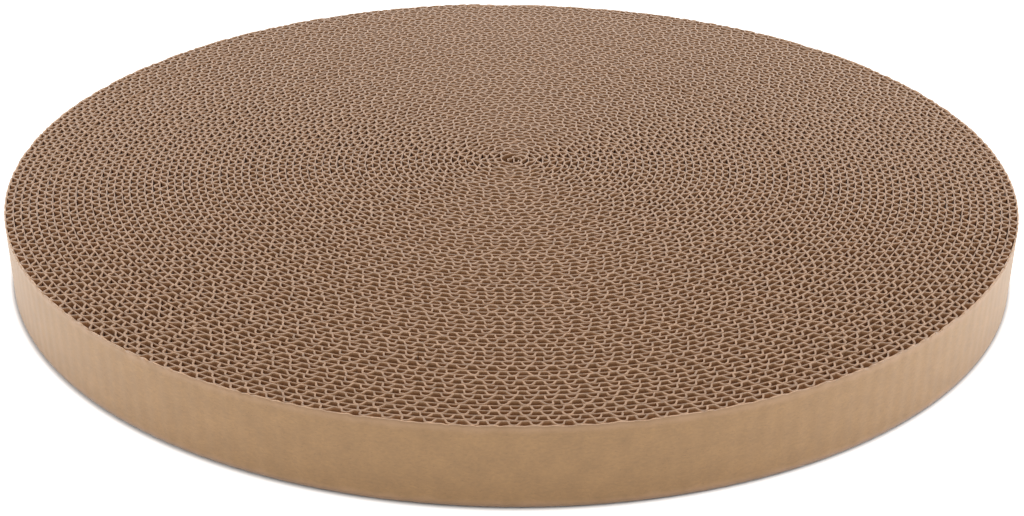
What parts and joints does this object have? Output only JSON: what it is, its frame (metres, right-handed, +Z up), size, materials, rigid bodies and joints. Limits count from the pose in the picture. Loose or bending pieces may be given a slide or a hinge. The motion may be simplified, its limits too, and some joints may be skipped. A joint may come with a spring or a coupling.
{
  "type": "cardboard cat scratcher",
  "caption": "Round scratching disc of single-face corrugated board strips wound on edge, open at both faces and held by a plain kraft rim band.",
  "frame": {"origin": "middle of the lower face, on the surface that the disc lies on", "axes": "+Z is up through the disc, +Y points to the back, where the seam of the rim band is, and +X points right as seen from the front"},
  "size_m": [0.4, 0.4003, 0.03],
  "materials": {
    "liner_kraft": "uncoated kraft liner",
    "flute_kraft": "uncoated recycled fluting",
    "band_kraft": "machine-smooth kraft wrap"
  },
  "bodies": {
    "root": {"rim_band": "band_kraft", "strip_01_liner": "liner_kraft", "strip_01_flutes": "flute_kraft", "strip_02_liner": "liner_kraft", "strip_02_flutes": "flute_kraft", "strip_03_liner": "liner_kraft", "strip_03_flutes": "flute_kraft", "strip_04_liner": "liner_kraft", "strip_04_flutes": "flute_kraft", "strip_05_liner": "liner_kraft", "strip_05_flutes": "flute_kraft", "strip_06_liner": "liner_kraft", "strip_06_flutes": "flute_kraft", "strip_07_liner": "liner_kraft", "strip_07_flutes": "flute_kraft", "strip_08_liner": "liner_kraft", "strip_08_flutes": "flute_kraft", "strip_09_liner": "liner_kraft", "strip_09_flutes": "flute_kraft", "strip_10_liner": "liner_kraft", "strip_10_flutes": "flute_kraft", "strip_11_liner": "liner_kraft", "strip_11_flutes": "flute_kraft", "strip_12_liner": "liner_kraft", "strip_12_flutes": "flute_kraft"}
  },
  "joints": []
}
